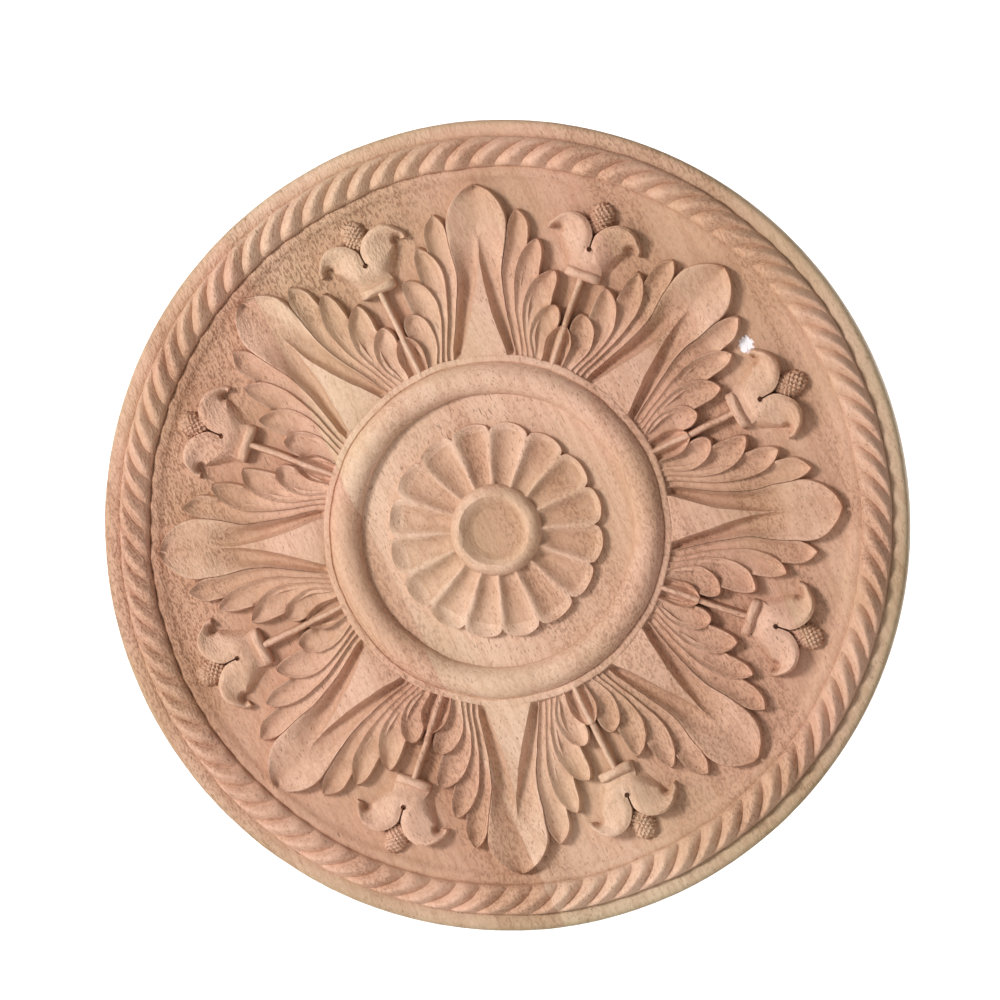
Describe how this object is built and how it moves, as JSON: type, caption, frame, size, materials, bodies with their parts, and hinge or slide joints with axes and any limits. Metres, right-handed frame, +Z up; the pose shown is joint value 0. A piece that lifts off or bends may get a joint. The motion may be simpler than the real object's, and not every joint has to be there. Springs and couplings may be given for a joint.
{
  "type": "carved rosette",
  "caption": "Round carved wooden rosette with a rope rim, long leaves with feathered side lobes, small flowers, and a moulded ring round a daisy; flat back.",
  "frame": {"origin": "centre of the flat back", "axes": "+Z up as it hangs, -Y out of the carved face, +Y out of the flat back into the wall, +X to the right of a person who looks at the face"},
  "size_m": [0.3, 0.0216, 0.3],
  "materials": {
    "wood": "raw, sanded rubberwood, no stain or varnish"
  },
  "bodies": {
    "root": {"carved_rosette": "wood"}
  },
  "joints": []
}
